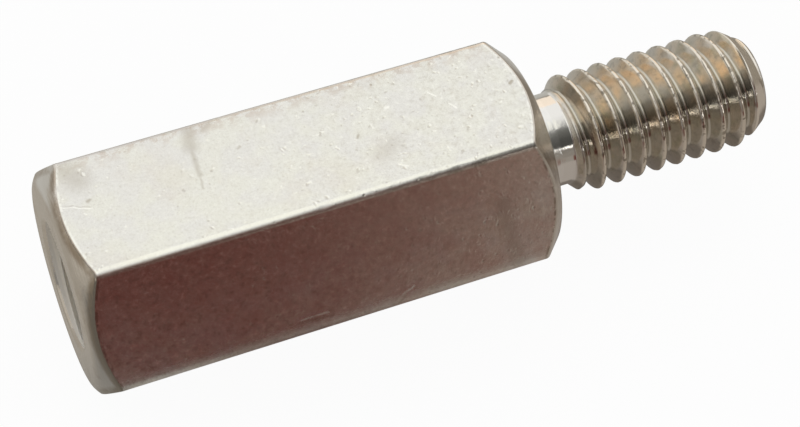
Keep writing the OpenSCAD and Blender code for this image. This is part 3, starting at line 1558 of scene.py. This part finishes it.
class HexStandoff:
    """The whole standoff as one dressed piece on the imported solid's body."""

    def __init__(self) -> None:
        """Takes the sizes of all its pieces."""
        self.bar = HexBar()
        self.hole = TappedHole()
        self.stud = Stud()

    def build(self) -> bpy.types.Object:
        """Winds the skin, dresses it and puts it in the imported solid's place.

        Returns:
            The finished piece.
        """
        skin = Skin(self.bar.section.columns())
        self.hole.wind(skin)
        self.bar.wind_tapped_end(skin)
        self.bar.wind_flats(skin)
        self.bar.wind_shoulder(skin)
        self.stud.wind(skin)
        piece = add_object("standoff_metal", skin.mesh("standoff_metal"))
        self.dress(piece)
        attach(piece, BODY)
        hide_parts(NODE)
        return piece

    @staticmethod
    def dress(piece: bpy.types.Object) -> None:
        """Gives the piece its finishes.

        Args:
            piece: The piece to dress.
        """
        plates = {
            Finish.DRAWN: DrawnPlate(),
            Finish.TURNED: TurnedPlate(),
            Finish.THREADED: ThreadPlate(),
            # Near-white colours that lighten the shaded inside of the tapped hole: painted light.
            Finish.TAPPED: ThreadPlate(
                name="dull_tapped_hole_painted_light",
                bright=(0.94, 0.90, 0.84),
                root=(0.92, 0.88, 0.82),
                flank=(0.92, 0.89, 0.83),
                orange_reflection=(0.90, 0.85, 0.78),
                olive=(0.88, 0.85, 0.79),
                soot=(0.84, 0.81, 0.75),
                blush=(0.92, 0.88, 0.82),
                shine=0.62,
            ),
            Finish.NECK: TurnedPlate(
                name="bright_nickel_neck",
                clean=(0.85, 0.835, 0.80),
                dull=(0.79, 0.77, 0.73),
                grain_depth=0.4,
            ),
        }
        for finish in Finish:
            piece.data.materials.append(plates[finish].material())


# ---------------------------------------------------------------------------
# Studio


@dataclass
class Sheet:
    """A mesh of the studio, with its places in millimetres."""

    name: str
    points: list[Point]
    faces: list[tuple[int, ...]]

    def build(self, material: bpy.types.Material, only_mirrored: bool) -> bpy.types.Object:
        """Makes the sheet and links it to the scene.

        Args:
            material: What it is made of.
            only_mirrored: Whether it only shows in the metal.

        Returns:
            The sheet.
        """
        mesh = bpy.data.meshes.new(self.name)
        mesh.from_pydata([[part * MM for part in point] for point in self.points], [], self.faces)
        mesh.update()
        mesh.materials.append(material)
        made = add_object(self.name, mesh)
        if only_mirrored:
            made.visible_camera = False
            made.visible_diffuse = False
            made.visible_shadow = False
        return made


def wheel(name: str, rims: Sequence[Span], columns: int) -> Sheet:
    """A round sheet about the middle of the part.

    Args:
        name: Its name.
        rims: Radius and height of each of its rings, from the inside out.
        columns: How many points each ring has.

    Returns:
        The sheet, open inside its first ring.
    """
    turns = [FULL_TURN * j / columns for j in range(columns)]
    points = [(r * math.cos(turn), r * math.sin(turn), z) for r, z in rims for turn in turns]
    faces: list[tuple[int, ...]] = []
    for low in range(0, (len(rims) - 1) * columns, columns):
        high = low + columns
        for j in range(columns):
            after = (j + 1) % columns
            faces.append((low + j, high + j, high + after, low + after))
    return Sheet(name, points, faces)


@dataclass(frozen=True)
class Fade:
    """A change to another colour, over a span along a direction."""

    span: Span
    colour: Colour
    way: Point = ALONG


@dataclass(frozen=True)
class Panel:
    """A sheet of the studio, bent along a line in the Y-Z plane and straight along X."""

    name: str
    line: tuple[Span, ...]
    x_range: Span
    colour: Colour
    fades: tuple[Fade, ...] = ()

    def build(self) -> bpy.types.Object:
        """Makes the sheet.

        Returns:
            The sheet.
        """
        points = [(x, y, z) for y, z in self.line for x in self.x_range]
        faces = [(2 * k, 2 * k + 1, 2 * k + 3, 2 * k + 2) for k in range(len(self.line) - 1)]
        return Sheet(self.name, points, faces).build(self._material(), only_mirrored=True)

    def _material(self) -> bpy.types.Material:
        """A glowing sheet that shades from its colour to those of its fades.

        Returns:
            The material.
        """
        g = ShaderGraph.material(self.name)
        colour: Input = self.colour
        for fade in self.fades:
            colour = g.blend(g.band(g.reach(g.here, fade.way), fade.span), colour, fade.colour)
        return g.glow(colour)


@dataclass(frozen=True)
class Surround:
    """A low ring-shaped sheet round the part, which only shows in the metal."""

    name: str = "surround_sheet"
    profile: tuple[Span, ...] = ((0.1, 0.03), (80.0, 0.04), (92.0, 6.0), (95.0, 30.0))
    columns: int = 96
    front: Colour = (0.22, 0.215, 0.205)
    side: Colour = (0.40, 0.365, 0.315)
    back: Colour = (0.53, 0.52, 0.49)
    beyond: Colour = (0.30, 0.27, 0.23)
    lit: Colour = (0.54, 0.53, 0.50)
    far_left: Colour = (0.56, 0.52, 0.46)
    far_back: Colour = (0.80, 0.79, 0.77)
    lit_place: Point = (-15.5, 11.5, 0.0)

    def build(self) -> bpy.types.Object:
        """Makes the sheet."""
        sheet = wheel(self.name, self.profile, self.columns)
        return sheet.build(self._material(), only_mirrored=True)

    def _material(self) -> bpy.types.Material:
        """A glow that differs with the place round the part.

        Returns:
            The material.
        """
        g = ShaderGraph.material(self.name)
        toward_back = g.band(g.across, (-5.5, 1.5))
        colour = g.blend(toward_back, self.front, self.side)
        colour = g.tinted(colour, g.along, Tint((-3.0, 4.0), self.back))
        colour = g.tinted(colour, g.along, Tint((9.0, 18.0), self.beyond))
        colour = g.tinted(colour, g.along, Tint((-50.0, -75.0), self.far_left), toward_back)
        behind = g.band(g.across, (15.0, 26.0)) * g.band(g.along, (12.0, 4.0))
        colour = g.tinted(colour, g.along, Tint((-75.0, -50.0), self.far_back), behind)
        from_lit = g.vector("DISTANCE", g.here, self.lit_place)
        return g.glow(g.tinted(colour, from_lit, Tint((6.5, 3.5), self.lit)))


@dataclass(frozen=True)
class Floor:
    """A pale floor that runs out into the white of the background."""

    name: str = "studio_floor"
    radius: float = 1150.0
    white_from: Span = (60.0, 260.0)
    drop: float = 0.02
    rings: int = 24
    columns: int = 96
    colour: Colour = (0.94, 0.94, 0.94)
    fill: float = 0.95

    def build(self) -> bpy.types.Object:
        """Makes the floor as a round sheet just under the part.

        Returns:
            The floor.
        """
        radii = [self.radius * (k / self.rings) ** 2 for k in range(1, self.rings + 1)]
        sheet = wheel(self.name, [(radius, -self.drop) for radius in radii], self.columns)
        middle = len(sheet.points)
        sheet.points.append((0.0, 0.0, -self.drop))
        sheet.faces += [(middle, j, (j + 1) % self.columns) for j in range(self.columns)]
        return sheet.build(self._material(), only_mirrored=False)

    def _material(self) -> bpy.types.Material:
        """Pale and matt near the part, and plain white further out.

        Returns:
            The material.
        """
        g = ShaderGraph.material(self.name)
        away = g.vector("LENGTH", g.here)
        share = g.larger(g.band(away, self.white_from), self.fill) * g.shown()
        matt = g.node("ShaderNodeBsdfDiffuse", {}, {"Color": self.colour})
        white = g.node("ShaderNodeEmission", {}, {"Strength": 1.0})
        mixed = {0: share, 1: g.out(matt), 2: g.out(white)}
        return g.end(g.node("ShaderNodeMixShader", {}, mixed))


@dataclass(frozen=True)
class Lamp:
    """A large soft lamp above and behind, which the metal doesn't mirror."""

    name: str = "soft_lamp"
    direction: Point = (0.15, 0.62, 0.85)
    distance: float = 400.0
    side: float = 300.0
    radiance: float = 1.0

    def build(self) -> bpy.types.Object:
        """Makes the lamp at its place.

        Returns:
            The lamp.
        """
        light = bpy.data.lights.new(self.name, "AREA")
        light.shape = "RECTANGLE"
        light.size = light.size_y = self.side * MM
        light.energy = self.radiance * math.pi * light.size * light.size_y
        made = add_object(self.name, light)
        away = Vector(self.direction).normalized()
        made.location = away * self.distance * MM
        made.rotation_mode = "QUATERNION"
        made.rotation_quaternion = away.to_track_quat("Z", "Y")
        made.visible_glossy = False
        return made


@dataclass(frozen=True)
class World:
    """A white world that lights the part at a plain level."""

    name: str = "studio_world"
    colour: Colour = (1.0, 1.0, 1.0)
    strength: float = 1.0
    fill: float = 0.62

    def build(self) -> bpy.types.World:
        """Makes the world and hands it to the scene.

        Returns:
            The world.
        """
        g = ShaderGraph(bpy.data.worlds.new(self.name))
        strength = self.fill + g.shown() * (self.strength - self.fill)
        shader = g.node("ShaderNodeBackground", {}, {"Color": self.colour, "Strength": strength})
        bpy.context.scene.world = g.end(shader, "ShaderNodeOutputWorld")
        LOG.info("%s is in the scene", self.name)
        return bpy.context.scene.world


@dataclass(frozen=True)
class Camera:
    """The camera, which looks down on the part from its tapped end."""

    name: str = "studio_camera"
    location: Point = (-18.139, -33.928, 62.14)
    rotation: Point = (32.147, -3.693, -21.654)
    lens: float = 101.08
    sensor_width: float = 36.0
    clip: Span = (1.0, 5000.0)

    def build(self) -> bpy.types.Object:
        """Makes the camera and hands it to the scene.

        Returns:
            The camera.
        """
        data = bpy.data.cameras.new(self.name)
        data.lens = self.lens
        data.sensor_width = self.sensor_width
        data.clip_start, data.clip_end = (end * MM for end in self.clip)
        made = add_object(self.name, data)
        made.location = [part * MM for part in self.location]
        made.rotation_euler = [math.radians(turn) for turn in self.rotation]
        bpy.context.scene.camera = made
        return made


class Studio:
    """The floor, the sheets that the metal mirrors, the lamp, the world and the camera."""

    def build(self) -> None:
        """Builds the studio piece by piece."""
        for piece in (Floor(), Surround(), *self.panels(), Lamp(), World(), Camera()):
            piece.build()
        bpy.context.scene.view_settings.view_transform = "Standard"

    @staticmethod
    def panels() -> list[Panel]:
        """The sheets that only show in the metal.

        Returns:
            The sheets, in the order they are made.
        """
        along_part = (1.0, 0.35, 0.0)
        over_line = ((24, 63), (12, 67), (0, 68.5), (-18, 66), (-38, 57), (-50, 48))
        return [
            Panel(
                "near_sheet",
                ((1.0, 0.06), (-14, 0.07), (-34, 0.1), (-40, 1.1)),
                (-10.5, 140),
                (0.14, 0.09, 0.08),
                (
                    Fade((-6.0, 7.0), (0.40, 0.36, 0.325)),
                    Fade((-2.6, -1.8), (0.19, 0.165, 0.145), BACK),
                    Fade((-4.5, -10.0), (0.37, 0.345, 0.32)),
                ),
            ),
            Panel(
                "front_sheet",
                ((-34, 0.1), (-50, 3), (-60, 11)),
                (-15, 140),
                (0.115, 0.033, 0.029),
                (
                    Fade((-46.0, -55.0), (0.10, 0.020, 0.014), BACK),
                    Fade((-13.5, 20.5), (0.40, 0.295, 0.235), along_part),
                    Fade((1.9, 2.9), (0.33, 0.305, 0.27), along_part),
                ),
            ),
            Panel(
                "front_high_sheet",
                ((-60, 11), (-64, 20), (-65, 26)),
                (-15, 140),
                (0.112, 0.04, 0.034),
                (Fade((-6.0, 16.0), (0.27, 0.245, 0.215)),),
            ),
            Panel("stud_high_sheet", ((-65, 26), (-61, 38)), (16, 140), (0.24, 0.22, 0.195)),
            Panel("left_canopy", ((-45, 46), (45, 46)), (-120, -38), (0.30, 0.29, 0.27)),
            Panel("high_canopy", ((-160, 140), (120, 150)), (-420, -98), (0.13, 0.12, 0.10)),
            Panel("upper_front_sheet", ((-65, 26), (-62, 48)), (-36, 16), (0.10, 0.055, 0.047)),
            Panel("edge_glow", ((-12.0, 65.5), (31.5, 65.5)), (-8, 25), (1.08, 1.08, 1.02)),
            Panel(
                "neck_flag",
                (*over_line, (-58, 36)),
                (16, 33),
                (0.07, 0.07, 0.065),
                (
                    Fade((-50.0, -18.0), (0.14, 0.14, 0.13), BACK),
                    Fade((-26.0, 26.0), (1.0, 1.0, 1.0), BACK),
                ),
            ),
            Panel(
                "thread_flag",
                (*over_line, (-59, 36), (-63, 29.2)),
                (33, 140),
                (0.045, 0.040, 0.036),
                (
                    Fade((-57.5, -17.0), (0.30, 0.285, 0.27), BACK),
                    Fade((-24.0, 13.0), (1.0, 1.0, 1.0), BACK),
                ),
            ),
            Panel(
                "camera_side_flag",
                (*over_line[3:], (-62, 36)),
                (-45, 16),
                (0.12, 0.07, 0.06),
                (Fade((-58.0, -14.0), (0.95, 0.95, 0.93), BACK),),
            ),
            Panel("neck_glint", ((-54.0, 38.0), (-56.1, 33.6)), (25.2, 33), (2.3, 2.25, 2.15)),
            Panel("thread_glint", ((-61.5, 28.6), (-62.0, 27.3)), (34, 120), (8.5, 8.6, 8.8)),
            Panel("upper_glint", ((-59.8, 33.2), (-60.1, 32.6)), (34, 120), (5.5, 5.5, 5.6)),
            Panel(
                "back_sheet",
                ((65, -6), (62, 42)),
                (4, 140),
                (0.80, 0.74, 0.66),
                (Fade((4.0, 34.0), (1.15, 1.0, 0.85)),),
            ),
        ]


def main() -> None:
    """Builds the part and its studio, in order."""
    logging.basicConfig(level=logging.INFO, format="%(name)s: %(message)s")
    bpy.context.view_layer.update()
    HexStandoff().build()
    Studio().build()


if __name__ == "__main__":
    main()
